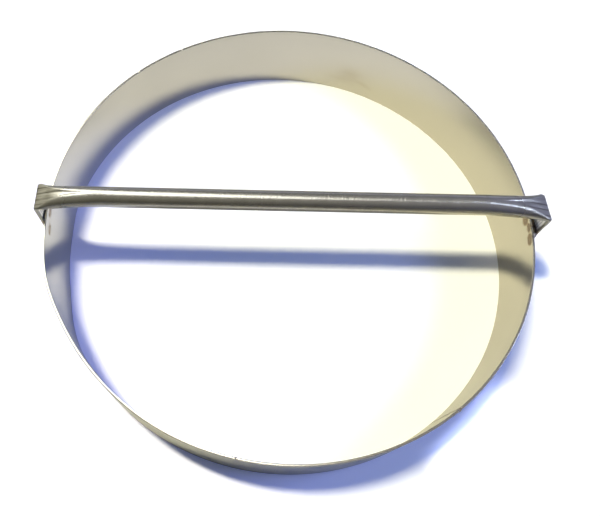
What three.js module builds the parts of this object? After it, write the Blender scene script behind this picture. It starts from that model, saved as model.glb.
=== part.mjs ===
import * as THREE from 'three';

// A ring cutter for rolled dough: a steel strip rolled into a ring, with a tube handle welded across it.
// Millimetres, +Z up. The origin is the ring's centre on the surface that the cutting edge stands on,
// and +X runs along the handle.

// Band
const ringInnerDiameter = 228.6;
const bandThickness = 1.0;
const bandHeight = 38.1;
const ringSteps = 160;

// Seam where the two ends of the strip meet
const seamAngle = -52.5;
const seamGap = 1.2;
const seamCrown = 0.15;
const seamCurveSteps = 6;

// Handle tube
const tubeDiameter = 9.5;
const tubeWall = 0.8;
const tubeAxisAboveRim = 10.8;
const sectionPoints = 40;

// Pressed and folded ends of the tube
const shoulderLength = 28;
const shoulderSteps = 14;
const evenPress = 0.35;
const flareSharpness = 5;
const flatDrop = 1.7;
const flatSlit = 0.2;
const foldInnerRadius = 0.2;
const foldSharpness = 6;
const foldSteps = 6;
const tabBelowRim = 12;
const leftTabGap = 0.4;
const rightTabGap = 2.2;

// Welds that hold the tabs to the band
const weldClearance = 0.1;
const spotRadius = 1.8;
const spotSteps = 24;
const spotBelowRim = 4;
const spotEdgeMargin = 0.5;
const tackLength = 4;
const tackCurveSteps = 6;

// Places that follow from the sizes above
const innerRadius = ringInnerDiameter / 2;
const outerRadius = innerRadius + bandThickness;
const tubeAxisZ = bandHeight + tubeAxisAboveRim;
const tubeUndersideZ = tubeAxisZ - tubeDiameter / 2;
const flatHalf = tubeWall + flatSlit / 2;
const flatMidZ = tubeAxisZ - flatDrop;
const flatLift = flatMidZ - flatHalf - tubeUndersideZ;
const foldPivotZ = flatMidZ - flatHalf - foldInnerRadius;
const tabLength = foldPivotZ - bandHeight + tabBelowRim;
const weldZ = bandHeight - spotBelowRim;

// The wall's middle line keeps its length when the tube is pressed flat
const roundMidRadius = (tubeDiameter - tubeWall) / 2;
const flatMidRadius = (tubeWall + flatSlit) / 2;
const midLineLength = 2 * Math.PI * roundMidRadius;
const flatStraight = midLineLength / 2 - Math.PI * flatMidRadius;
const tabHalfWidth = flatStraight / 2 + flatMidRadius + tubeWall / 2;

// One spot weld is in the middle of each tab and one is near its front edge
const midSpotY = 0;
const nearSpotY = spotEdgeMargin + spotRadius - tabHalfWidth;

const bandSteel = new THREE.MeshStandardMaterial({ color: 0xc6c2b4, roughness: 0.38, metalness: 1 });
const tubeSteel = new THREE.MeshStandardMaterial({ color: 0xb9b8b2, roughness: 0.24, metalness: 1 });
const weldSteel = new THREE.MeshStandardMaterial({ color: 0x9a8f7f, roughness: 0.5, metalness: 1 });

const cutter = new THREE.Group();

function addPiece(name, geometry, material) {
  const mesh = new THREE.Mesh(geometry, material);
  mesh.name = name;
  cutter.add(mesh);
  return mesh;
}

// The strip as an open ring with a parallel gap at the seam, turned so that the gap is at the seam's angle
function bandGeometry() {
  const halfGap = seamGap / 2 / outerRadius;
  const fullTurn = 2 * Math.PI;
  const outline = new THREE.Shape();
  outline.absarc(0, 0, outerRadius, halfGap, fullTurn - halfGap, false);
  outline.absarc(0, 0, innerRadius, fullTurn - halfGap, halfGap, true);
  outline.closePath();
  const settings = { depth: bandHeight, bevelEnabled: false, curveSegments: ringSteps / 2 };
  return new THREE.ExtrudeGeometry(outline, settings);
}

// A bead that fills the seam, crowned on both faces of the strip
function seamGeometry() {
  const half = seamGap / 2 - weldClearance;
  const outline = new THREE.Shape();
  outline.moveTo(innerRadius, -half);
  outline.lineTo(outerRadius, -half);
  outline.quadraticCurveTo(outerRadius + 2 * seamCrown, 0, outerRadius, half);
  outline.lineTo(innerRadius, half);
  outline.quadraticCurveTo(innerRadius - 2 * seamCrown, 0, innerRadius, -half);
  const depth = bandHeight - 2 * weldClearance;
  const settings = { depth, bevelEnabled: false, curveSegments: seamCurveSteps };
  const bead = new THREE.ExtrudeGeometry(outline, settings);
  bead.translate(0, 0, weldClearance);
  return bead;
}

// Point and outward direction on the wall's middle line, a stadium with ends of the given radius,
// at an arc length from the middle of its +Y end
function stadiumPoint(arc, radius) {
  const straight = midLineLength / 2 - Math.PI * radius;
  const quarter = (Math.PI * radius) / 2;
  const half = straight / 2;
  const farCorner = quarter + straight;
  const nearCorner = farCorner + 2 * quarter;
  if (arc > quarter && arc <= farCorner) {
    return { y: half - (arc - quarter), n: radius, outY: 0, outN: 1 };
  }
  if (arc > nearCorner && arc <= nearCorner + straight) {
    return { y: arc - nearCorner - half, n: -radius, outY: 0, outN: -1 };
  }
  let angle = arc / radius;
  let centre = half;
  if (arc > farCorner && arc <= nearCorner) {
    angle = Math.PI / 2 + (arc - farCorner) / radius;
    centre = -half;
  } else if (arc > nearCorner) {
    angle = (3 * Math.PI) / 2 + (arc - nearCorner - straight) / radius;
  }
  const outY = Math.cos(angle);
  const outN = Math.sin(angle);
  return { y: centre + radius * outY, n: radius * outN, outY, outN };
}

// Closed loops of the tube's outer and inner wall, as y across and n away from the section's middle plane
function tubeSection(radius) {
  const loops = { outer: [], inner: [] };
  for (let i = 0; i < sectionPoints; i += 1) {
    const at = stadiumPoint((i / sectionPoints) * midLineLength, radius);
    const offset = tubeWall / 2;
    loops.outer.push({ y: at.y + at.outY * offset, n: at.n + at.outN * offset });
    loops.inner.push({ y: at.y - at.outY * offset, n: at.n - at.outN * offset });
  }
  return loops;
}

// Stations from the start of one shoulder out to the end of its tab, for the gap between tab and band there.
// Each has a section and a function that places the section's n in the XZ plane.
// The tube is pressed from above: evenly at first, then faster towards the fold, where its underside lifts.
function halfHandleStations(tabGap) {
  const stations = [];
  const foldPivotX = outerRadius + tabGap - foldInnerRadius;
  for (let i = 0; i < shoulderSteps; i += 1) {
    const share = i / shoulderSteps;
    const flare = share ** flareSharpness;
    const flatness = evenPress * share + (1 - evenPress) * flare;
    const radius = roundMidRadius + (flatMidRadius - roundMidRadius) * flatness;
    const x = foldPivotX - shoulderLength * (1 - share);
    const z = tubeUndersideZ + radius + tubeWall / 2 + flatLift * flare;
    stations.push({ section: tubeSection(radius), place: (n) => ({ x, z: z + n }) });
  }
  const flatSection = tubeSection(flatMidRadius);
  const pivotDistance = (n) => n + flatHalf + foldInnerRadius;
  for (let i = 0; i <= foldSteps; i += 1) {
    const angle = ((i / foldSteps) * Math.PI) / 2;
    const across = Math.sin(angle);
    const up = Math.cos(angle);
    const stretch = (across ** foldSharpness + up ** foldSharpness) ** (-1 / foldSharpness);
    const place = (n) => ({
      x: foldPivotX + across * stretch * pivotDistance(n),
      z: foldPivotZ + up * stretch * pivotDistance(n),
    });
    stations.push({ section: flatSection, place });
  }
  const tabEnd = (n) => ({ x: foldPivotX + pivotDistance(n), z: foldPivotZ - tabLength });
  stations.push({ section: flatSection, place: tabEnd });
  return stations;
}

// The tube from the end of the left tab to the end of the right one: an outer skin, an inner skin,
// and a rim that joins them at each end
function handleGeometry() {
  const left = halfHandleStations(leftTabGap).reverse().map((station) => ({ ...station, side: -1 }));
  const right = halfHandleStations(rightTabGap).map((station) => ({ ...station, side: 1 }));
  const stations = [...left, ...right];
  const positions = [];
  for (const { section, place, side } of stations) {
    for (const { y, n } of [...section.outer, ...section.inner]) {
      const { x, z } = place(n);
      positions.push(side * x, y, z);
    }
  }
  const outerAt = (station, point) => station * 2 * sectionPoints + (point % sectionPoints);
  const innerAt = (station, point) => outerAt(station, point) + sectionPoints;
  const triangles = [];
  const quad = (a, b, c, d) => triangles.push(a, b, c, a, c, d);
  const last = stations.length - 1;
  for (let i = 0; i < sectionPoints; i += 1) {
    for (let s = 0; s < last; s += 1) {
      quad(outerAt(s, i), outerAt(s, i + 1), outerAt(s + 1, i + 1), outerAt(s + 1, i));
      quad(innerAt(s, i), innerAt(s + 1, i), innerAt(s + 1, i + 1), innerAt(s, i + 1));
    }
    quad(outerAt(0, i), innerAt(0, i), innerAt(0, i + 1), outerAt(0, i + 1));
    quad(outerAt(last, i), outerAt(last, i + 1), innerAt(last, i + 1), innerAt(last, i));
  }
  const tube = new THREE.BufferGeometry();
  tube.setAttribute('position', new THREE.Float32BufferAttribute(positions, 3));
  tube.setIndex(triangles);
  tube.computeVertexNormals();
  return tube;
}

// A nugget between the band's outer wall and the tab's inner face, on the given side
function spotGeometry(side, tabGap, y) {
  const thickness = tabGap - 2 * weldClearance;
  const nugget = new THREE.CylinderGeometry(spotRadius, spotRadius, thickness, spotSteps);
  nugget.rotateZ(Math.PI / 2);
  nugget.translate(side * (outerRadius + tabGap / 2), y, weldZ);
  return nugget;
}

// A short fillet in the corner between the band's outer wall and the near edge of a tab
function tackGeometry(side, tabGap) {
  const tackLeg = tabGap + flatHalf;
  const wallRadius = outerRadius + weldClearance;
  const edgeY = -tabHalfWidth - weldClearance;
  const toeY = edgeY - tackLeg;
  const cornerX = Math.sqrt(wallRadius ** 2 - edgeY ** 2);
  const toeX = Math.sqrt(wallRadius ** 2 - toeY ** 2);
  const outline = new THREE.Shape();
  outline.moveTo(side * cornerX, edgeY);
  outline.lineTo(side * (cornerX + tackLeg), edgeY);
  outline.quadraticCurveTo(side * (cornerX + tackLeg), toeY, side * toeX, toeY);
  outline.closePath();
  const settings = { depth: tackLength, bevelEnabled: false, curveSegments: tackCurveSteps };
  const tack = new THREE.ExtrudeGeometry(outline, settings);
  tack.translate(0, 0, weldZ - tackLength / 2);
  return tack;
}

const band = addPiece('cutting_band', bandGeometry(), bandSteel);
band.rotation.z = THREE.MathUtils.degToRad(seamAngle);

const seam = addPiece('band_seam_weld', seamGeometry(), weldSteel);
seam.rotation.z = THREE.MathUtils.degToRad(seamAngle);

addPiece('handle_tube', handleGeometry(), tubeSteel);

for (const [name, side, tabGap] of [['left', -1, leftTabGap], ['right', 1, rightTabGap]]) {
  addPiece(`${name}_spot_weld_mid`, spotGeometry(side, tabGap, midSpotY), weldSteel);
  addPiece(`${name}_spot_weld_near`, spotGeometry(side, tabGap, nearSpotY), weldSteel);
  addPiece(`${name}_edge_tack`, tackGeometry(side, tabGap), weldSteel);
}

export default cutter;
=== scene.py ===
import math

import bpy
import numpy as np
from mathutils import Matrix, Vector


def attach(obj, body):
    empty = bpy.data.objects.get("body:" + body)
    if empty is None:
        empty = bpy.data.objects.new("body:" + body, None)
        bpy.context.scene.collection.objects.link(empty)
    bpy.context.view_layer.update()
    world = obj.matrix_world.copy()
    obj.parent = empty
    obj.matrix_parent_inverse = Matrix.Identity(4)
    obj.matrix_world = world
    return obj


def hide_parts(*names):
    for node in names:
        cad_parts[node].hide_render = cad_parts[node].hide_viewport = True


# Ring cutter for rolled dough: a rolled steel band and a tube handle welded across it.
# Metres, +Z up, +X along the handle, origin at the ring's centre on the table.

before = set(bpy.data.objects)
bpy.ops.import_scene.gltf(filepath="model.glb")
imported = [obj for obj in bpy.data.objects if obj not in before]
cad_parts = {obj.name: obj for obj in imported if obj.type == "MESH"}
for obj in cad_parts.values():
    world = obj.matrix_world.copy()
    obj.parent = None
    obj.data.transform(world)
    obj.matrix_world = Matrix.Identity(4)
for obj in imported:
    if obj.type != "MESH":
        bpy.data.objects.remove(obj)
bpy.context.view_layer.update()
print("frame loaded:", len(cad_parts), "nodes")

scene = bpy.context.scene
scene.view_settings.view_transform = "Standard"

fullTurn = 2.0 * np.pi
quarterTurn = np.pi / 2.0
rising, falling = (0.0, 1.0), (1.0, 0.0)  # targets of ranges that go up and down


# Helpers for nodes

def rgb(red, green, blue):
    return (red, green, blue, 1.0)


plainWhite = rgb(1.0, 1.0, 1.0)


def fillInputs(tree, node, values):
    # a value that is a socket is linked, any other is set on the input
    for key, value in values.items():
        if isinstance(value, bpy.types.NodeSocket):
            tree.links.new(value, node.inputs[key])
        else:
            node.inputs[key].default_value = value


def addNode(tree, kind, values=None, **settings):
    node = tree.nodes.new(kind)
    for key, value in settings.items():
        setattr(node, key, value)
    fillInputs(tree, node, values or {})
    return node


def addMath(tree, operation, first, second=0.0, third=0.0, clamp=False):
    values = {0: first, 1: second}
    if operation == "MULTIPLY_ADD":
        values[2] = third
    return addNode(tree, "ShaderNodeMath", values, operation=operation, use_clamp=clamp).outputs[0]


def addRange(tree, value, span, target=rising):
    # a smooth step over the span, from the target's first value to its second
    values = {"Value": value, "From Min": span[0], "From Max": span[1],
              "To Min": target[0], "To Max": target[1]}
    node = addNode(tree, "ShaderNodeMapRange", values, interpolation_type="SMOOTHSTEP")
    return node.outputs["Result"]


def addMix(tree, share, first, second, blend="MIX"):
    # the node's colours are its inputs 6 and 7 and its output 2
    values = {0: share, 6: first, 7: second}
    return addNode(tree, "ShaderNodeMix", values, data_type="RGBA", blend_type=blend).outputs[2]


def addNoise(tree, vector, scale, detail, roughness):
    values = {"Vector": vector, "Scale": scale, "Detail": detail, "Roughness": roughness}
    return addNode(tree, "ShaderNodeTexNoise", values).outputs["Fac"]


def addVectorMath(tree, operation, first, second=(0.0, 0.0, 0.0)):
    return addNode(tree, "ShaderNodeVectorMath", {0: first, 1: second}, operation=operation).outputs


def emptyTree(owner):
    owner.use_nodes = True
    owner.node_tree.nodes.clear()
    return owner.node_tree


def seenInMetal(tree, path):
    # 1 for a ray that comes from a reflection or through glass
    return addMath(tree, "MAXIMUM", path["Is Glossy Ray"], path["Is Transmission Ray"])


# Camera, at the photograph's viewing angle for a 600 x 516 image; turn in degrees

camera = dict(
    lens=35.246, sensor=36.0, clip=(0.01, 50.0),
    place=(-0.02329, -0.13786, 0.28317),
    turn=(23.860, 0.050, 1.430),
    shift=(0.1151, 0.0165),
)

cameraData = bpy.data.cameras.new("viewCamera")
cameraData.lens = camera["lens"]
cameraData.sensor_width = camera["sensor"]
cameraData.shift_x, cameraData.shift_y = camera["shift"]
cameraData.clip_start, cameraData.clip_end = camera["clip"]
viewCamera = bpy.data.objects.new("viewCamera", cameraData)
viewCamera.location = camera["place"]
viewCamera.rotation_euler = [math.radians(angle) for angle in camera["turn"]]
scene.collection.objects.link(viewCamera)
scene.camera = viewCamera
print("camera set")


# Lights: a warm lamp above the left side and soft cool daylight from the right. The table and
# the metal each have their own lamp and daylight, so that shadows and highlights can be set apart.

lights = dict(
    tableLamp=dict(place=(-0.40, 0.165, 1.42), size=(0.08, 0.36),
                   power=21.0, color=(1.0, 0.955, 0.685), metal=False),
    tableDay=dict(place=(0.705, -0.02, 0.650), size=(0.40, 0.30),
                  power=4.05, color=(0.31, 0.40, 1.0), metal=False),
    metalPanel=dict(place=(-0.38, 0.41, 1.06), size=(0.38, 1.7),
                    power=7.2, color=(1.0, 0.99, 0.92), metal=True),
    metalGlow=dict(place=(-0.81, 0.51, 0.54), size=(0.60, 0.60),
                   power=0.24, color=(1.0, 0.93, 0.50), metal=True),
    metalDay=dict(place=(0.74, 0.02, 0.68), size=(0.14, 0.14),
                  power=1.2, color=(0.66, 0.76, 1.0), metal=True),
)


def makeLight(name, look):
    # an oval panel that faces the object and lights either the metal or the rest
    data = bpy.data.lights.new(name, "AREA")
    data.shape = "ELLIPSE"
    data.size, data.size_y = look["size"]
    data.energy = look["power"]
    data.color = look["color"]
    panel = bpy.data.objects.new(name, data)
    panel.location = look["place"]
    panel.rotation_euler = (-Vector(look["place"])).to_track_quat("-Z", "Y").to_euler()
    panel.visible_camera = False
    panel.visible_glossy = look["metal"]
    panel.visible_diffuse = not look["metal"]
    scene.collection.objects.link(panel)


for lightName, lightLook in lights.items():
    makeLight(lightName, lightLook)


# Surroundings: white for the camera. The metal sees a plain room whose six sides are blended
# by the squares of the direction's parts, with a paler strip low at the back; the floor gets
# a little cool light from it.

room = dict(
    right=rgb(0.19, 0.225, 0.55),
    left=rgb(0.22, 0.21, 0.145),
    back=rgb(0.16, 0.16, 0.17),
    front=rgb(0.105, 0.097, 0.072),
    above=rgb(0.34, 0.327, 0.27),
    below=rgb(0.50, 0.50, 0.50),
    strip=rgb(0.58, 0.60, 0.68),
    stripRise=(0.02, 0.16), stripFall=(0.16, 0.34), stripBack=(0.0, 0.6),
    ambient=rgb(0.072, 0.105, 0.195),
)


def makeRoom():
    world = bpy.data.worlds.new("plainRoom")
    scene.world = world
    tree = emptyTree(world)
    direction = addNode(tree, "ShaderNodeTexCoord").outputs["Generated"]
    parts = addNode(tree, "ShaderNodeSeparateXYZ", {0: direction}).outputs
    seen = None
    for part, plus, minus in zip(parts, ("right", "back", "above"), ("left", "front", "below")):
        side = addMath(tree, "GREATER_THAN", part, 0.0)
        sideColor = addMix(tree, side, room[minus], room[plus])
        weighted = addMix(tree, 1.0, sideColor, addMath(tree, "MULTIPLY", part, part), "MULTIPLY")
        seen = weighted if seen is None else addMix(tree, 1.0, seen, weighted, "ADD")
    strip = addMath(tree, "MULTIPLY", addRange(tree, parts[2], room["stripRise"]),
                    addRange(tree, parts[2], room["stripFall"], falling))
    strip = addMath(tree, "MULTIPLY", strip, addRange(tree, parts[1], room["stripBack"]))
    seen = addMix(tree, 1.0, seen, addMix(tree, 1.0, room["strip"], strip, "MULTIPLY"), "ADD")
    path = addNode(tree, "ShaderNodeLightPath").outputs
    color = addMix(tree, seenInMetal(tree, path), room["ambient"], seen)
    color = addMix(tree, path["Is Camera Ray"], color, plainWhite)
    shade = addNode(tree, "ShaderNodeBackground", {"Color": color, "Strength": 1.0})
    addNode(tree, "ShaderNodeOutputWorld", {"Surface": shade.outputs[0]})


makeRoom()
print("lights and room set")


# Helpers for meshes

def gridFaces(rows, loop, flip=False):
    # quads of a grid of points, row by row; each row is a closed loop
    row = np.arange(rows - 1)[:, None]
    column = np.arange(loop)[None, :]
    following = (column + 1) % loop
    corners = [row * loop + column, row * loop + following,
               (row + 1) * loop + following, (row + 1) * loop + column]
    if flip:
        corners.reverse()
    return np.stack(corners, axis=-1).reshape(-1, 4)


def addPiece(name, points, quads, caps=(), attributes=None):
    # quads are shaded smooth and caps flat; attributes hold one value or vector for each point
    mesh = bpy.data.meshes.new(name)
    faces = quads.tolist() + [cap.tolist() for cap in caps]
    mesh.from_pydata(points.reshape(-1, 3).tolist(), [], faces)
    smooth = np.ones(len(faces), dtype=bool)
    smooth[len(quads):] = False
    mesh.polygons.foreach_set("use_smooth", smooth)
    for key, values in (attributes or {}).items():
        kind, field = ("FLOAT", "value") if values.ndim == 1 else ("FLOAT_VECTOR", "vector")
        layer = mesh.attributes.new(key, kind, "POINT")
        layer.data.foreach_set(field, values.astype(np.float32).ravel())
    mesh.update()
    piece = bpy.data.objects.new(name, mesh)
    scene.collection.objects.link(piece)
    return piece


def addTube(name, points, flip=False, attributes=None):
    # a grid whose rows are closed loops, with a flat cap on the first and on the last
    rows, loop = points.shape[:2]
    first, last = np.arange(loop), (rows - 1) * loop + np.arange(loop)
    caps = [first, last[::-1]] if flip else [first[::-1], last]
    return addPiece(name, points, gridFaces(rows, loop, flip), caps, attributes)


def finishPiece(piece, material, slot, *nodes):
    piece.data.materials.append(material)
    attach(piece, "root")
    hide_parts(*nodes)
    print("piece", piece.name, len(piece.data.polygons), "faces")


def gauss(distance, width):
    return np.exp(-(distance / width) ** 2)


def smoothStep(low, high, value):
    share = np.clip((value - low) / (high - low), 0.0, 1.0)
    return share * share * (3.0 - 2.0 * share)


# Floor: a pale table that goes over to plain white away from the object. A span is where a tone
# comes in, along x, along y or by the distance from the origin.

floorSet = dict(
    radii=(0.0002, 0.1, 0.2, 0.4, 0.8, 1.6, 3.0), steps=72, drop=0.00005,
    bounce=rgb(1.50, 1.50, 1.50), seen=rgb(1.08, 1.08, 1.08), whiteSpan=(0.26, 0.55),
    # painted light: the table seen by the camera is bluer towards the left, where the left wall
    # keeps daylight from it
    seenBlue=rgb(1.08, 1.08, 1.36), blueSlant=0.6, blueSpan=(-0.14, 0.0),
    # what metal mirrors: it is dimmer near, in the middle and far away, as the object itself,
    # a table's edge and a darker room would make it, and is painted bluer on the left and warmer on
    # the right, as the light there would make it
    mirroredBack=rgb(0.86, 0.84, 0.79),
    mirroredLeft=rgb(1.02, 1.04, 1.19), leftSpan=(-0.105, -0.06),
    mirroredRight=rgb(1.07, 1.03, 0.90), rightSpan=(-0.03, 0.10),
    mirroredNear=0.76, nearSpan=(-0.06, 0.02),
    mirroredMiddle=0.34, middleSpan=(0.080, 0.100), middleAcross=(0.045, 0.070),
    mirroredFar=0.14, farSpan=(0.14, 0.27),
    # light that the outer wall throws on the table at its near right
    thrownLight=rgb(3.2, 3.05, 2.7), thrownPlace=(0.092, -0.094, 0.0),
    thrownSpan=(0.012, 0.036), thrownOutside=(0.119, 0.126),
    # deep shadow of the right tab
    darkBlue=rgb(0.54, 0.63, 0.86), darkPlace=(0.134, -0.009, 0.0), darkSpan=(0.0035, 0.0088),
)


def mirroredFloor(tree, x, y, distance):
    look = floorSet
    # painted light: what metal mirrors is bluer on the left and warmer on the right
    color = addMix(tree, addRange(tree, x, look["leftSpan"]),
                   look["mirroredLeft"], look["mirroredBack"])
    color = addMix(tree, addRange(tree, x, look["rightSpan"]), color, look["mirroredRight"])
    dim = addRange(tree, y, look["nearSpan"], (look["mirroredNear"], 1.0))
    across = addMath(tree, "ABSOLUTE", y)
    outer = addMath(tree, "MAXIMUM", addRange(tree, distance, look["middleSpan"]),
                    addRange(tree, across, look["middleAcross"]))
    middle = addRange(tree, outer, rising, (look["mirroredMiddle"], 1.0))
    dim = addMath(tree, "MULTIPLY", dim, middle)
    dim = addRange(tree, distance, look["farSpan"], (dim, look["mirroredFar"]))
    return addMix(tree, 1.0, color, dim, "MULTIPLY")


def seenFloor(tree, x, y, place, distance):
    look = floorSet
    # painted light: bluer towards the left, in place of the daylight that the left wall blocks
    slanted = addMath(tree, "MULTIPLY_ADD", y, look["blueSlant"], x)
    bluer = addRange(tree, slanted, look["blueSpan"], falling)
    color = addMix(tree, bluer, look["seen"], look["seenBlue"])
    fromThrown = addVectorMath(tree, "DISTANCE", place, look["thrownPlace"])["Value"]
    thrown = addMath(tree, "MULTIPLY", addRange(tree, fromThrown, look["thrownSpan"], falling),
                     addRange(tree, distance, look["thrownOutside"]))
    gain = addMix(tree, thrown, plainWhite, look["thrownLight"])
    color = addMix(tree, 1.0, color, gain, "MULTIPLY")
    fromDark = addVectorMath(tree, "DISTANCE", place, look["darkPlace"])["Value"]
    dark = addRange(tree, fromDark, look["darkSpan"], falling)
    return addMix(tree, dark, color, look["darkBlue"])


def floorMaterial():
    # light that the table sends back, what metal mirrors and what the camera sees each have a tone
    material = bpy.data.materials.new("paleTable")
    tree = emptyTree(material)
    path = addNode(tree, "ShaderNodeLightPath").outputs
    place = addNode(tree, "ShaderNodeTexCoord").outputs["Object"]
    distance = addVectorMath(tree, "LENGTH", place)["Value"]
    x, y, _ = addNode(tree, "ShaderNodeSeparateXYZ", {0: place}).outputs
    mirrored = mirroredFloor(tree, x, y, distance)
    tone = addMix(tree, seenInMetal(tree, path), floorSet["bounce"], mirrored)
    seen = seenFloor(tree, x, y, place, distance)
    tone = addMix(tree, path["Is Camera Ray"], tone, seen)
    matt = addNode(tree, "ShaderNodeBsdfDiffuse", {"Color": tone})
    white = addNode(tree, "ShaderNodeEmission", {"Color": plainWhite, "Strength": 1.0})
    far = addRange(tree, distance, floorSet["whiteSpan"])
    far = addMath(tree, "MULTIPLY", far, path["Is Camera Ray"])
    shade = addNode(tree, "ShaderNodeMixShader", {0: far, 1: matt.outputs[0], 2: white.outputs[0]})
    addNode(tree, "ShaderNodeOutputMaterial", {"Surface": shade.outputs[0]})
    return material


def makeFloor():
    # a disc: rings of points at growing radii around the origin
    radii = np.array(floorSet["radii"])[:, None]
    turn = np.linspace(0.0, fullTurn, floorSet["steps"], endpoint=False)
    x, y = radii * np.cos(turn), radii * np.sin(turn)
    points = np.stack([x, y, np.full_like(x, -floorSet["drop"])], axis=-1)
    quads = gridFaces(len(radii), len(turn), flip=True)
    floor = addPiece("table", points, quads, caps=[np.arange(len(turn))])
    floor.data.materials.append(floorMaterial())


makeFloor()
print("floor made")


# Surface effects that more than one steel uses; a noise is its scale, detail and roughness

grainLook = dict(
    lineDetail=3.0, lineRoughness=0.6, blotchDetail=4.0, blotchRoughness=0.55, blotchHeight=0.3,
)

heatLook = dict(
    patchNoise=(900.0, 3.0, 0.6), patchGain=0.7, patchBase=0.65,
    straw=rgb(0.36, 0.30, 0.22), strawSpan=(0.02, 0.45),
    brown=rgb(0.24, 0.18, 0.135), brownSpan=(0.40, 0.75),
    grey=rgb(0.28, 0.25, 0.21), greySpan=(0.80, 1.0),
)


def newGroup(name, inputs, outputs):
    group = bpy.data.node_groups.new(name, "ShaderNodeTree")
    for inOut, sockets in (("INPUT", inputs), ("OUTPUT", outputs)):
        for key, kind in sockets.items():
            group.interface.new_socket(name=key, in_out=inOut, socket_type="NodeSocket" + kind)
    return group, addNode(group, "NodeGroupInput").outputs


def makeGrainGroup():
    # fine lines along one direction of the surface, and slow blotches of the same metal
    look = grainLook
    group, given = newGroup(
        "steelGrain",
        {"Surface": "Vector", "Line Stretch": "Vector",
         "Line Scale": "Float", "Blotch Scale": "Float"},
        {"Lines": "Float", "Blotches": "Float", "Height": "Float"})
    stretched = addVectorMath(group, "DIVIDE", given["Surface"], given["Line Stretch"])[0]
    lines = addNoise(group, stretched, given["Line Scale"],
                     look["lineDetail"], look["lineRoughness"])
    blotches = addNoise(group, given["Surface"], given["Blotch Scale"],
                        look["blotchDetail"], look["blotchRoughness"])
    height = addMath(group, "MULTIPLY_ADD", blotches, look["blotchHeight"], lines)
    addNode(group, "NodeGroupOutput", {"Lines": lines, "Blotches": blotches, "Height": height})
    return group


def makeHeatGroup():
    # oxide colours around a weld: clean steel, straw, brown, then a grey centre
    group, given = newGroup(
        "weldHeat",
        {"Steel": "Color", "Heat": "Float", "Surface": "Vector"},
        {"Color": "Color", "Dulling": "Float"})
    patches = addNoise(group, given["Surface"], *heatLook["patchNoise"])
    uneven = addMath(group, "MULTIPLY_ADD", patches, heatLook["patchGain"], heatLook["patchBase"])
    heat = addMath(group, "MULTIPLY", given["Heat"], uneven, clamp=True)
    color = given["Steel"]
    for tone in ("straw", "brown", "grey"):
        color = addMix(group, addRange(group, heat, heatLook[tone + "Span"]), color, heatLook[tone])
    addNode(group, "NodeGroupOutput", {"Color": color, "Dulling": heat})
    return group


grainGroup = makeGrainGroup()
heatGroup = makeHeatGroup()


def newSteel(name):
    material = bpy.data.materials.new(name)
    tree = emptyTree(material)
    shader = addNode(tree, "ShaderNodeBsdfPrincipled", {"Metallic": 1.0})
    addNode(tree, "ShaderNodeOutputMaterial", {"Surface": shader.outputs[0]})
    return material, tree, shader


def addGroup(tree, group, values):
    return addNode(tree, "ShaderNodeGroup", values, node_tree=group).outputs


def readAttribute(tree, name, output="Fac"):
    return addNode(tree, "ShaderNodeAttribute", attribute_name=name).outputs[output]


def blotchColor(tree, grain, look):
    share = addRange(tree, grain["Blotches"], look["blotchSpan"])
    return addMix(tree, share, look["dark"], look["pale"])


def addRoughness(tree, plain, *layers):
    # each layer is a mask and the roughness that it adds to the plain one
    rough = plain
    for mask, amount in layers:
        rough = addMath(tree, "MULTIPLY_ADD", mask, amount, rough)
    return rough


def dressSteel(tree, shader, color, rough, height, look):
    bump = addNode(tree, "ShaderNodeBump", {"Height": height, "Strength": look["bumpStrength"],
                                            "Distance": look["bumpDistance"]})
    fillInputs(tree, shader, {"Base Color": color, "Roughness": rough, "Normal": bump.outputs[0]})


# Band

band = dict(
    innerRadius=0.1143, thickness=0.0010, height=0.0381,
    edgeRound=0.00016, cornerAngles=(22.5, 45.0, 67.5),
    seamAngle=-52.5, seamGap=0.0012, aroundSteps=1080, faceRows=32,
    # slow waves around the ring: order, size, phase
    waves=((2, 0.00012, 0.7), (3, 0.00010, 2.1), (7, 0.00005, 4.0), (12, 0.00002, 1.0)),
    # where the band is bent out of round: turn and half width in degrees, sharpness of the ends,
    # and how far the lower edge and the rim are moved outwards
    bends=((186.0, 14.0, 4, -0.0020, 0.0), (211.0, 7.0, 2, 0.0014, 0.0),
           (198.0, 9.0, 2, 0.0, 0.0011)),
    # nicks in the rim: turn in degrees, half width, depth
    nicks=((133.2, 0.00055, 0.00030), (119.5, 0.00045, 0.00016), (-101.0, 0.0005, 0.00012)),
    nickFade=0.0015, nickReach=2.5, nickSteps=21,
    # heat marks: place across from the tab's middle, height, half width, half height, strength
    heatRight=((0.0006, 0.0344, 0.0022, 0.0021, 0.80), (-0.0044, 0.0362, 0.0019, 0.0015, 0.85),
               (-0.0103, 0.0357, 0.0026, 0.0017, 0.85)),
    heatLeft=((-0.0010, 0.0349, 0.0022, 0.0015, 0.62), (-0.0063, 0.0337, 0.0022, 0.0015, 0.14),
              (-0.0090, 0.0326, 0.0026, 0.0014, 0.56)),
    # a mark is a ring around a fainter core, in shares of its half sizes
    ringPlace=0.8, ringWidth=0.4, coreStrength=0.6, coreWidth=0.8,
    # heat lines beside the seam
    seamHeat=0.14, seamHeatPlace=0.0016, seamHeatWidth=0.0009,
    # a faint brown patch low on the far wall, in lobes: place along the wall from the patch's
    # middle, height, half length, half height, slope, strength
    farPatchAngle=69.0,
    farPatchLobes=((0.0005, 0.0145, 0.0070, 0.0042, 0.0, 0.34), (0.0050, 0.0088, 0.0080, 0.0030, 0.0, 0.24),
           (-0.0085, 0.0092, 0.0050, 0.0014, 0.25, 0.30)),
    grainShift=0.2,  # keeps the grain of the outer face apart from the inner one's
)
outerRadius = band["innerRadius"] + band["thickness"]


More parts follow.
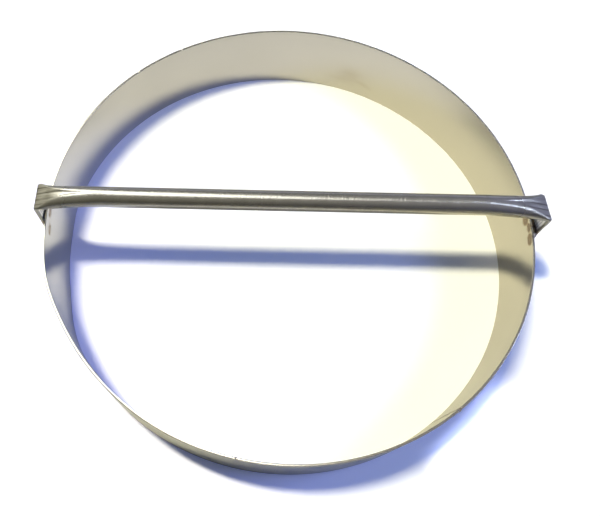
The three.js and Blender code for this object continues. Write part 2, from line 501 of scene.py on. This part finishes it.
def bandProfile():
    # closed outline of the strip's section: up the inner face, over the rim, down the outer face
    # and round the lower edge, which mirrors the rim, with quarter-round corners, as offsets from
    # the inner radius and heights
    corner, height, thick = band["edgeRound"], band["height"], band["thickness"]
    face = corner + (height - 2.0 * corner) * np.linspace(0.0, 1.0, band["faceRows"])
    face = np.concatenate([face[:1], face[:1] + corner, face[1:-1], face[-1:] - corner, face[-1:]])
    bend = np.radians(band["cornerAngles"])
    inner = np.stack([np.zeros_like(face), face], -1)
    topIn = np.stack([corner - corner * np.cos(bend), height - corner + corner * np.sin(bend)], -1)
    upper = np.array([[corner, height], [thick / 2.0, height], [thick - corner, height]])
    topOut = np.stack([thick - corner + corner * np.sin(bend),
                       height - corner + corner * np.cos(bend)], -1)
    outer = np.stack([np.full_like(face, thick), face[::-1]], -1)
    lower = [part[::-1] * [1.0, -1.0] + [0.0, height] for part in (topOut, upper, topIn)]
    return np.concatenate([inner, topIn, upper, topOut, outer, *lower])


def turnAway(turn, degrees):
    # signed angle from a place on the ring, between minus and plus half a turn
    return (turn - math.radians(degrees) + np.pi) % fullTurn - np.pi


def bandTurns():
    # even steps from one end of the strip to the other, with closer ones at the rim's nicks
    halfGap = band["seamGap"] / 2.0 / outerRadius
    start = math.radians(band["seamAngle"]) + halfGap
    even = np.linspace(start, start + 2.0 * (np.pi - halfGap), band["aroundSteps"])
    near = np.linspace(-band["nickReach"], band["nickReach"], band["nickSteps"])
    close = [start + (math.radians(degrees) - start) % fullTurn + near * width / outerRadius
             for degrees, width, _ in band["nicks"]]
    return np.unique(np.concatenate([even] + close))


def bandHeat(turn, points):
    # bell curves of the way from each mark's ring and middle, and of the way from the seam
    x, y, z = np.moveaxis(points, -1, 0)
    heat = np.zeros_like(x)
    for marks, sign in ((band["heatRight"], 1.0), (band["heatLeft"], -1.0)):
        for across, up, halfWide, halfTall, strength in marks:
            away = np.hypot((y - across) / halfWide, (z - up) / halfTall)
            away = np.where(x * sign > 0.0, away, np.inf)
            ring = gauss(away - band["ringPlace"], band["ringWidth"])
            mark = ring + band["coreStrength"] * gauss(away, band["coreWidth"])
            heat = np.maximum(heat, np.minimum(mark, 1.0) * strength)
    fromSeam = np.abs(turnAway(turn, band["seamAngle"])) * outerRadius
    beside = band["seamHeat"] * gauss(fromSeam - band["seamHeatPlace"], band["seamHeatWidth"])
    return np.maximum(heat, beside[:, None])


def bandFarPatch(turn, height):
    # sum of bell curves, one for each lobe of the patch, along and across its slope
    along = (turnAway(turn, band["farPatchAngle"]) * band["innerRadius"])[:, None]
    farPatch = np.zeros_like(height)
    for shift, up, wide, tall, slope, strength in band["farPatchLobes"]:
        lift = height - up - slope * (along - shift)
        farPatch += strength * np.exp(-((along - shift) / wide) ** 2 - (lift / tall) ** 2)
    return np.minimum(farPatch, 1.0)


def makeBand():
    # radius = inner radius + section offset + a few slow waves around the ring + the bends, which
    # go evenly from the lower edge to the rim; a nick lowers the rim by a bell curve of the way
    # around it
    profile = bandProfile()
    turn = bandTurns()
    wave = sum(size * np.sin(order * turn + phase) for order, size, phase in band["waves"])
    radius = band["innerRadius"] + profile[None, :, 0] + wave[:, None]
    rise = profile[None, :, 1] / band["height"]
    for degrees, width, sharp, low, high in band["bends"]:
        bell = np.exp(-np.abs(turnAway(turn, degrees) / math.radians(width)) ** sharp)[:, None]
        radius = radius + bell * (low + (high - low) * rise)
    nick = sum(depth * gauss(turnAway(turn, degrees) * outerRadius, width)
               for degrees, width, depth in band["nicks"])
    nearRim = smoothStep(band["height"] - band["nickFade"], band["height"], profile[:, 1])
    height = profile[None, :, 1] - nick[:, None] * nearRim[None, :]
    points = np.stack([radius * np.cos(turn)[:, None], radius * np.sin(turn)[:, None], height], -1)
    arc = np.broadcast_to((turn * band["innerRadius"])[:, None], radius.shape)
    outside = np.broadcast_to(profile[None, :, 0] > band["thickness"] / 2.0, radius.shape)
    sheet = np.stack([arc, height, outside * band["grainShift"]], -1)
    farPatch = np.where(outside, 0.0, bandFarPatch(turn, height))
    attributes = {"sheet": sheet, "scorch": bandHeat(turn, points).ravel(), "farPatch": farPatch.ravel()}
    return addTube("band", points, flip=True, attributes=attributes)


bandFinish = dict(
    pale=rgb(0.570, 0.550, 0.500), dark=rgb(0.552, 0.532, 0.482), blotchSpan=(0.3, 0.7),
    grain={"Line Stretch": (14.0, 1.0, 1.0), "Line Scale": 2600.0, "Blotch Scale": 30.0},
    farPatch=rgb(0.37, 0.31, 0.21), farPatchNoise=(260.0, 3.0, 0.5),
    farPatchSpan=(0.2, 0.65), farPatchShare=(0.7, 1.0),
    roughness=0.19, lineRough=0.06, heatRough=0.12, farPatchRough=0.10,
    bumpStrength=0.06, bumpDistance=0.0001,
)


def bandMaterial():
    look = bandFinish
    material, tree, shader = newSteel("satinBandSteel")
    sheet = readAttribute(tree, "sheet", "Vector")
    grain = addGroup(tree, grainGroup, {"Surface": sheet, **look["grain"]})
    color = blotchColor(tree, grain, look)
    heat = readAttribute(tree, "scorch")
    tint = addGroup(tree, heatGroup, {"Steel": color, "Heat": heat, "Surface": sheet})
    patches = addNoise(tree, sheet, *look["farPatchNoise"])
    patches = addRange(tree, patches, look["farPatchSpan"], look["farPatchShare"])
    farPatch = addMath(tree, "MULTIPLY", readAttribute(tree, "farPatch"), patches)
    color = addMix(tree, farPatch, tint["Color"], look["farPatch"])
    rough = addRoughness(tree, look["roughness"], (grain["Lines"], look["lineRough"]),
                         (tint["Dulling"], look["heatRough"]), (farPatch, look["farPatchRough"]))
    dressSteel(tree, shader, color, rough, grain["Height"], look)
    return material


finishPiece(makeBand(), bandMaterial(), "band_steel", "cutting_band")


# Handle

handle = dict(
    diameter=0.0095, wall=0.0008, axisZ=0.0489, sectionPoints=160,
    shoulder=0.028, evenPress=0.35, flare=5.0, drop=0.0017, slit=0.0002,
    foldInner=0.0002, foldSharpness=6.0, tabBelowRim=0.012, leftGap=0.0004, rightGap=0.0022,
    straightSteps=10, shoulderSteps=60, foldSteps=18, tabSteps=40,
    # marks of the press; a span is where they come or go, in shares of the shoulder
    dish=0.19, dishFrom=(0.03, 0.40), dishTo=(0.40, 1.0),
    ridgeHeight=0.00006, ridgePitch=0.0029, ridgePhase=0.8,
    ridgeFrom=(0.50, 0.80), ridgeTo=(0.90, 1.0),
    lineHeight=0.000006, linePitch=0.00072, secondHeight=0.6, secondPitch=1.63, secondPhase=1.0,
    edgePower=8, slopeRise=0.00063, slopeFrom=0.0039, slopePower=1.7,
    rightSkew=0.0010, skewFrom=(0.4, 1.0), wornFrom=(0.35, 0.85),
    # dark lines in the valleys between the ridges, which are painted shade, dark lines down the
    # tabs' inner faces, and painted shade in the slots between tab and band
    creaseFrom=(0.45, 0.85), leftCrease=0.95, rightCrease=0.55, creasePower=5,
    scorePitch=0.00135, scoreDark=0.45, scorePower=4,
    leftSlotTop=0.0392, rightSlotTop=0.0366, slotShade=3.0, slotFade=(-0.0004, 0.0004),
    # spot welds, the dents of the welding tips and the heat around them and the tacks
    weldBelowRim=0.004, spotRadius=0.0018, spotEdge=0.0005,
    dimpleRadius=0.0021, dimpleDepth=0.00012, dimpleEdge=(0.6, 1.0),
    ringHeat=0.75, ringWidth=0.0009, coreHeat=0.25, coreWidth=0.002, tackHeat=0.7, tackWidth=0.0026,
    grainShift=0.1,  # keeps the grain of the inner skin apart from the outer one's
)
flatHalf = handle["wall"] + handle["slit"] / 2.0
flatMidZ = handle["axisZ"] - handle["drop"]
undersideZ = handle["axisZ"] - handle["diameter"] / 2.0
foldZ = flatMidZ - flatHalf - handle["foldInner"]
roundMid = (handle["diameter"] - handle["wall"]) / 2.0
flatMid = (handle["wall"] + handle["slit"]) / 2.0
midLine = fullTurn * roundMid
tabHalfWidth = (midLine / 2.0 - np.pi * flatMid) / 2.0 + flatMid + handle["wall"] / 2.0
weldZ = band["height"] - handle["weldBelowRim"]

# places of the spot welds across each tab
spotPlaces = dict(mid=0.0, near=handle["spotEdge"] + handle["spotRadius"] - tabHalfWidth)


def stadiumSection(flatness, points):
    # middle line of the tube's wall: two straights joined by half circles, always of the same
    # length, so the end radius falls and the straights grow as the tube is pressed flat; starts at
    # the +Y end. Gives y, n, the outward direction, whether a point is on the upper (1) or lower
    # (-1) straight, its share of the way from the straight's middle to its end, and half the
    # straight's length
    radius = (roundMid + (flatMid - roundMid) * flatness)[:, None]
    arc = (np.arange(points) / points * midLine)[None, :]
    straight = midLine / 2.0 - np.pi * radius
    quarter = quarterTurn * radius
    half = straight / 2.0
    far = quarter + straight
    near = far + 2.0 * quarter
    onTop = (arc > quarter) & (arc <= far)
    onEnd = (arc > far) & (arc <= near)
    onBase = (arc > near) & (arc <= near + straight)
    lastQuarter = 3.0 * quarterTurn + (arc - near - straight) / radius
    angle = np.where(arc > near, lastQuarter, arc / radius)
    angle = np.where(onEnd, quarterTurn + (arc - far) / radius, angle)
    angle = np.where(onTop, quarterTurn, np.where(onBase, 3.0 * quarterTurn, angle))
    centre = np.where(onEnd, -half, half)
    centre = np.where(onTop, half - (arc - quarter), np.where(onBase, arc - near - half, centre))
    outY, outN = np.cos(angle), np.sin(angle)
    face = np.where(onTop, 1.0, np.where(onBase, -1.0, 0.0))
    share = np.where(face != 0.0, np.clip(centre / np.maximum(half, 1e-9), -1.0, 1.0), 1.0)
    return centre + radius * outY, radius * outN, outY, outN, face, share, half


def handleStations(gap):
    # from the middle of the handle to the end of one tab: flatness, a point in the XZ plane, the
    # direction there of the section's height, the share of the shoulder and whether it is on the
    # tab. The shoulder is pressed evenly at first and then, by a power of the way along it, faster;
    # the underside stays level and lifts only near the fold, which is a rounded square corner
    foldX = outerRadius + gap - handle["foldInner"]
    start = foldX - handle["shoulder"]
    straightX = np.linspace(0.0, start, handle["straightSteps"], endpoint=False)
    share = np.linspace(0.0, 1.0, handle["shoulderSteps"], endpoint=False)
    flare = share ** handle["flare"]
    press = handle["evenPress"] * share + (1.0 - handle["evenPress"]) * flare
    halfHeight = roundMid + (flatMid - roundMid) * press + handle["wall"] / 2.0
    shoulderZ = undersideZ + halfHeight + (flatMidZ - flatHalf - undersideZ) * flare
    x = np.concatenate([straightX, start + handle["shoulder"] * share])
    z = np.concatenate([np.full_like(straightX, handle["axisZ"]), shoulderZ])
    up = np.stack([np.zeros_like(x), np.ones_like(x)], -1)
    bend = np.linspace(0.0, quarterTurn, handle["foldSteps"])
    sharp = handle["foldSharpness"]
    stretch = (np.sin(bend) ** sharp + np.cos(bend) ** sharp) ** (-1.0 / sharp)
    bendUp = np.stack([np.sin(bend), np.cos(bend)], -1) * stretch[:, None]
    bendLine = np.array([foldX, foldZ]) + bendUp * (flatHalf + handle["foldInner"])
    tabZ = np.linspace(foldZ, band["height"] - handle["tabBelowRim"], handle["tabSteps"])[1:]
    tabLine = np.stack([np.full_like(tabZ, foldX + flatHalf + handle["foldInner"]), tabZ], -1)
    tabUp = np.broadcast_to([1.0, 0.0], tabLine.shape)
    unpressed, pressed = np.zeros_like(straightX), np.ones(len(bend) + len(tabZ))
    flatness = np.concatenate([unpressed, press, pressed])
    shoulder = np.concatenate([unpressed, share, pressed])
    line = np.concatenate([np.stack([x, z], -1), bendLine, tabLine])
    onTab = np.concatenate([np.zeros(len(x) + len(bend)), np.ones(len(tabZ))])
    return flatness, line, np.concatenate([up, bendUp, tabUp]), shoulder, onTab


def ridgeAngle(y):
    return fullTurn * y / handle["ridgePitch"] + handle["ridgePhase"]


def pressMarks(y, face, share, half, shoulder, onTab):
    # change of height on the two straights: the upper one is dished while it is narrow, low
    # lengthwise ridges run over its flat part, and fine lines from the press run down the tab
    narrow = smoothStep(*handle["dishFrom"], shoulder)
    narrow = narrow * (1.0 - smoothStep(*handle["dishTo"], shoulder))
    dish = -handle["dish"] * half * narrow[:, None] * (1.0 - share ** 2)
    inside = 1.0 - share ** handle["edgePower"]
    flat = smoothStep(*handle["ridgeFrom"], shoulder) - smoothStep(*handle["ridgeTo"], shoulder)
    ridges = flat[:, None] * inside * handle["ridgeHeight"] * np.cos(ridgeAngle(y))
    phase = fullTurn * y / handle["linePitch"]
    second = handle["secondHeight"] * np.sin(handle["secondPitch"] * phase + handle["secondPhase"])
    fine = handle["lineHeight"] * (np.sin(phase) + second) * onTab[:, None] * inside
    return (dish + ridges) * (face > 0.0) + fine * np.abs(face)


def slopeLift(x, gap):
    # the flat part keeps one slope up to the fold's outer edge: a rise that grows by a power of the
    # way to the fold and then falls evenly to nothing at the edge
    foldX = outerRadius + gap - handle["foldInner"]
    reach = 2.0 * flatHalf + handle["foldInner"]
    before = np.clip((x - foldX) / handle["slopeFrom"] + 1.0, 0.0, 1.0) ** handle["slopePower"]
    after = np.clip(1.0 - (x - foldX) / reach, 0.0, 1.0)
    return handle["slopeRise"] * before * after ** (x > foldX)


def dentTabs(outer, side, face, onTab):
    # sinks a round dent into the outer skin where each welding tip pressed on a tab, and gives the
    # heat: bell curves of the way from each dent's edge, from its middle and from the tack
    heat = np.zeros_like(face)
    for place in spotPlaces.values():
        away = np.hypot(outer[..., 1] - place, outer[..., 2] - weldZ)
        away = np.where((onTab > 0.5) & (face != 0.0), away, np.inf)
        shallow = smoothStep(*handle["dimpleEdge"], away / handle["dimpleRadius"])
        outer[..., 0] -= side * handle["dimpleDepth"] * (1.0 - shallow) * (face > 0.0)
        ring = handle["ringHeat"] * gauss(away - handle["dimpleRadius"], handle["ringWidth"])
        heat = np.maximum(heat, ring + handle["coreHeat"] * gauss(away, handle["coreWidth"]))
    fromTack = np.hypot(outer[..., 1] + tabHalfWidth, outer[..., 2] - weldZ)
    tack = handle["tackHeat"] * gauss(fromTack, handle["tackWidth"])
    return np.maximum(heat, np.where(onTab > 0.5, tack, 0.0))


def handleCreases(y, z, face, side, shoulder, onTab):
    # how dark the surface is: powers of waves across the flat part (painted shade in the ridges'
    # valleys) and across the tab's inner face, and a step below the top of the slot between tab and
    # band (painted shade in the slot)
    valley = (0.5 - 0.5 * np.cos(ridgeAngle(y))) ** handle["creasePower"]
    strength = np.where(side < 0.0, handle["leftCrease"], handle["rightCrease"])
    flatPart = smoothStep(*handle["creaseFrom"], shoulder) * (1.0 - onTab) * strength
    score = (0.5 - 0.5 * np.cos(fullTurn * y / handle["scorePitch"])) ** handle["scorePower"]
    slotTop = np.where(side < 0.0, handle["leftSlotTop"], handle["rightSlotTop"])
    slot = 1.0 - smoothStep(*handle["slotFade"], z - slotTop)
    inner = onTab * (handle["scoreDark"] * score + handle["slotShade"] * slot)
    return flatPart * valley * (face > 0.0) + inner * (face < 0.0)


def makeHandle():
    # the left half's stations in reverse, then the right half's; outer skin, inner skin and a rim
    # at each tab's end
    halves = [handleStations(handle[gap]) for gap in ("leftGap", "rightGap")]
    flatness, line, up, shoulder, onTab = [np.concatenate([left[::-1], right[1:]])
                                           for left, right in zip(*halves)]
    side = np.concatenate([-np.ones(len(halves[0][0])), np.ones(len(halves[1][0]) - 1)])
    midY, midN, outY, outN, face, share, half = stadiumSection(flatness, handle["sectionPoints"])
    marks = pressMarks(midY, face, share, half, shoulder, onTab)
    steps = np.hypot(*np.diff(np.stack([side * line[:, 0], line[:, 1]], -1), axis=0).T)
    side, shoulder, onTab = side[:, None], shoulder[:, None], onTab[:, None]
    gap = np.where(side < 0.0, handle["leftGap"], handle["rightGap"])
    # the right fold isn't quite square: its far corner lies nearer the ring
    skew = smoothStep(*handle["skewFrom"], shoulder) * (side > 0.0) * handle["rightSkew"]
    skins = []
    for offset in (handle["wall"] / 2.0, -handle["wall"] / 2.0):
        y = midY + outY * offset
        n = midN + outN * offset + marks
        x = side * (line[:, None, 0] + up[:, None, 0] * n)
        z = line[:, None, 1] + up[:, None, 1] * n
        z = z + slopeLift(np.abs(x), gap) * (1.0 - onTab)
        x = x - skew * (y / tabHalfWidth + 1.0) / 2.0
        skins.append(np.stack([x, y, z], -1))
    outer = skins[0]
    heat = dentTabs(outer, side, face, onTab)
    points = np.concatenate([skin.reshape(-1, 3) for skin in skins])
    stations, count = midY.shape
    ring = np.arange(count)
    following = (ring + 1) % count
    inner = stations * count
    last = (stations - 1) * count
    startRim = np.stack([ring, inner + ring, inner + following, following], -1)
    endRim = np.stack([last + ring, last + following,
                       inner + last + following, inner + last + ring], -1)
    quads = np.concatenate([gridFaces(stations, count),
                            gridFaces(stations, count, flip=True) + inner, startRim, endRim])
    # each point's way along the handle and around its section
    along = np.concatenate([[0.0], np.cumsum(steps)])
    along -= along[-1] / 2.0
    arc = ring / count * midLine
    wrap = np.stack(np.broadcast_arrays(along[:, None], arc[None, :], 0.0), -1).reshape(-1, 3)
    masks = {"scorch": heat, "inward": onTab * (face < 0.0),
             "pressed": np.broadcast_to(smoothStep(*handle["wornFrom"], shoulder), midY.shape),
             "shadeAndScoreLines": handleCreases(midY, outer[..., 2], face, side, shoulder, onTab)}
    attributes = {key: np.tile(mask.ravel(), 2) for key, mask in masks.items()}
    attributes["wrap"] = np.concatenate([wrap, wrap + [0.0, 0.0, handle["grainShift"]]])
    return addPiece("handle", points, quads, attributes=attributes)


tubeFinish = dict(
    pale=rgb(0.57, 0.56, 0.52), dark=rgb(0.53, 0.52, 0.48), blotchSpan=(0.3, 0.7),
    around={"Line Stretch": (1.0, 5.0, 1.0), "Line Scale": 1700.0, "Blotch Scale": 110.0},
    lengthwise={"Line Stretch": (16.0, 1.0, 1.0), "Line Scale": 2200.0, "Blotch Scale": 420.0},
    pressed=rgb(0.37, 0.355, 0.29), pressedShare=0.45,
    worn=rgb(0.36, 0.34, 0.28), wornShare=0.35, wornSpan=(0.35, 0.75),
    streak=rgb(0.24, 0.22, 0.17), streakShare=0.6, streakSpan=(0.52, 0.66),
    streakStretch=(26.0, 1.0, 1.0), streakNoise=(900.0, 3.0, 0.55),
    # painted reflection: the tabs' inner faces are pale, warm and matt, in place of the bright
    # table that they would mirror
    inward=rgb(1.0, 0.95, 0.84),
    # painted shade: the colour of the ridges' valleys and the slots, and of the dark lines down the
    # tabs
    shadeAndScoreLines=rgb(0.10, 0.09, 0.065), creaseSpan=(0.34, 0.56), creaseShare=(0.35, 1.0),
    roughness=0.21, blotchRough=0.08, pressedRough=0.06, inwardRough=0.32, heatRough=0.12,
    bumpStrength=0.8, bumpDistance=0.00016,
)


def tubeMaterial():
    # lines around the round part and along the pressed ends, which are worn and streaked; the tabs'
    # inner faces are matt and pale, a painted reflection of the bright table, with dark lines down
    # them and painted shade in the slots
    look = tubeFinish
    material, tree, shader = newSteel("polishedTubeSteel")
    wrap = readAttribute(tree, "wrap", "Vector")
    pressed = readAttribute(tree, "pressed")
    inward = readAttribute(tree, "inward")
    around = addGroup(tree, grainGroup, {"Surface": wrap, **look["around"]})
    lengthwise = addGroup(tree, grainGroup, {"Surface": wrap, **look["lengthwise"]})
    stretched = addVectorMath(tree, "DIVIDE", wrap, look["streakStretch"])[0]
    streaks = addNoise(tree, stretched, *look["streakNoise"])
    pressedShare = addMath(tree, "MULTIPLY", pressed, look["pressedShare"])
    worn = addMath(tree, "MULTIPLY", pressed, addRange(tree, lengthwise["Lines"], look["wornSpan"]))
    wornShare = addMath(tree, "MULTIPLY", worn, look["wornShare"])
    streakShare = addMath(tree, "MULTIPLY", addRange(tree, streaks, look["streakSpan"]),
                          addMath(tree, "MULTIPLY", pressed, look["streakShare"]))
    # painted shade in the ridges' valleys and the slots, with the dark lines down the inner faces
    creaseShare = addMath(tree, "MULTIPLY", readAttribute(tree, "shadeAndScoreLines"),
                          addRange(tree, streaks, look["creaseSpan"], look["creaseShare"]))
    color = blotchColor(tree, around, look)
    for share, layer in ((pressedShare, "pressed"), (wornShare, "worn"), (streakShare, "streak"),
                         (inward, "inward"), (creaseShare, "shadeAndScoreLines")):
        color = addMix(tree, share, color, look[layer])
    heat = readAttribute(tree, "scorch")
    tint = addGroup(tree, heatGroup, {"Steel": color, "Heat": heat, "Surface": wrap})
    rough = addRoughness(tree, look["roughness"], (around["Blotches"], look["blotchRough"]),
                         (pressed, look["pressedRough"]), (inward, look["inwardRough"]),
                         (tint["Dulling"], look["heatRough"]))
    # the inner faces are not metal, so that they show the pale painted reflection
    fillInputs(tree, shader, {"Metallic": addMath(tree, "SUBTRACT", 1.0, inward)})
    lines = addMix(tree, pressed, around["Lines"], lengthwise["Lines"])
    dressSteel(tree, shader, tint["Color"], rough, lines, look)
    return material


finishPiece(makeHandle(), tubeMaterial(), "tube_steel", "handle_tube")


# Welds

weld = dict(
    seamHalf=0.00063, seamCrown=0.00015, seamLow=0.0002, seamTop=0.0374,
    seamRows=150, seamColumns=14,
    ripplePitch=0.0009, rippleSize=0.00004, rippleBend=1.6,
    tackLength=0.004, tackRows=33, tackColumns=18, tackEnd=0.97, tackRipple=0.05, tackWaves=3.0,
    spotRows=9, spotColumns=40, waist=0.12, sink=0.00005,
)


def makeSeamBead():
    # section across the seam: a strip as thick as the sheet with a crown on both faces, highest in
    # the middle; carried up the band, where the crown swells and shrinks in ripples that bend at
    # the middle
    z = np.linspace(weld["seamLow"], weld["seamTop"], weld["seamRows"])[:, None]
    across = np.linspace(-1.0, 1.0, weld["seamColumns"])[None, :]
    phase = fullTurn * z / weld["ripplePitch"] + weld["rippleBend"] * across ** 2
    crown = (weld["seamCrown"] + weld["rippleSize"] * np.sin(phase)) * (1.0 - across ** 2)
    t = np.broadcast_to(across * weld["seamHalf"], crown.shape)
    t = np.concatenate([t, t[:, ::-1]], 1)
    r = np.concatenate([outerRadius + crown, (band["innerRadius"] - crown)[:, ::-1]], 1)
    turn = math.radians(band["seamAngle"])
    x = r * math.cos(turn) - t * math.sin(turn)
    y = r * math.sin(turn) + t * math.cos(turn)
    return addTube("seamBead", np.stack([x, y, np.broadcast_to(z, x.shape)], -1))


def makeSpotWeld(name, side, gap, across):
    # a nugget in the gap between band and tab: circles along X whose radius is least halfway
    along = np.linspace(-1.0, 1.0, weld["spotRows"])[:, None]
    turn = np.linspace(0.0, fullTurn, weld["spotColumns"], endpoint=False)[None, :]
    radius = handle["spotRadius"] * (1.0 - weld["waist"] * (1.0 - along ** 2))
    y = across + radius * np.cos(turn)
    z = weldZ + radius * np.sin(turn)
    x = side * (outerRadius + gap / 2.0 + along * (gap / 2.0 + weld["sink"]))
    return addTube(name, np.stack([np.broadcast_to(x, y.shape), y, z], -1), flip=side < 0.0)


def makeEdgeTack(name, side, gap):
    # a short fillet in the corner between the band and the tab's near edge: a flattened quarter
    # round from the tab to the band, carried up the corner and rounded off at both ends, with
    # ripples; its last points lie on the band
    leg = gap + flatHalf
    climb = np.linspace(-weld["tackEnd"], weld["tackEnd"], weld["tackRows"])[:, None]
    ripple = 1.0 + weld["tackRipple"] * np.sin(weld["tackWaves"] * fullTurn * climb)
    size = (1.0 - climb ** 4) ** 0.5 * ripple
    sweep = np.linspace(0.0, quarterTurn, weld["tackColumns"])[None, :]
    reach = leg * size * (1.0 - weld["waist"] * np.sin(2.0 * sweep))
    edgeY = -tabHalfWidth + weld["sink"]
    cornerX = math.sqrt(outerRadius ** 2 - edgeY ** 2) - weld["sink"]
    x = cornerX + reach * np.cos(sweep)
    y = edgeY - reach * np.sin(sweep)
    x[:, -1] = np.sqrt(outerRadius ** 2 - y[:, -1] ** 2) - weld["sink"]
    x = np.concatenate([x, np.full_like(climb, cornerX - weld["sink"])], 1)
    y = np.concatenate([y, np.full_like(climb, edgeY + weld["sink"])], 1)
    z = np.broadcast_to(weldZ + climb * weld["tackLength"] / 2.0, x.shape)
    return addTube(name, np.stack([side * x, y, z], -1), flip=side > 0.0)


weldFinish = dict(
    bare=rgb(0.40, 0.36, 0.30), heatSpan=(0.35, 0.75), heatShare=(0.05, 0.6),
    grain={"Line Stretch": (1.0, 1.0, 3.0), "Line Scale": 1800.0, "Blotch Scale": 700.0},
    roughness=0.28, lineRough=0.2, bumpStrength=0.25, bumpDistance=0.0001,
)


def weldMaterial():
    look = weldFinish
    material, tree, shader = newSteel("bareWeldMetal")
    place = addNode(tree, "ShaderNodeTexCoord").outputs["Object"]
    grain = addGroup(tree, grainGroup, {"Surface": place, **look["grain"]})
    heat = addRange(tree, grain["Blotches"], look["heatSpan"], look["heatShare"])
    tint = addGroup(tree, heatGroup, {"Steel": look["bare"], "Heat": heat, "Surface": place})
    rough = addRoughness(tree, look["roughness"], (grain["Lines"], look["lineRough"]))
    dressSteel(tree, shader, tint["Color"], rough, grain["Height"], look)
    return material


weldMetal = weldMaterial()
finishPiece(makeSeamBead(), weldMetal, "weld_metal", "band_seam_weld")
for sideName, sideSign in (("left", -1.0), ("right", 1.0)):
    sideGap = handle[sideName + "Gap"]
    for spotName, spotPlace in spotPlaces.items():
        nuggetName = sideName + "SpotWeld" + spotName.title()
        nugget = makeSpotWeld(nuggetName, sideSign, sideGap, spotPlace)
        finishPiece(nugget, weldMetal, "weld_metal", sideName + "_spot_weld_" + spotName)
    tack = makeEdgeTack(sideName + "EdgeTack", sideSign, sideGap)
    finishPiece(tack, weldMetal, "weld_metal", sideName + "_edge_tack")
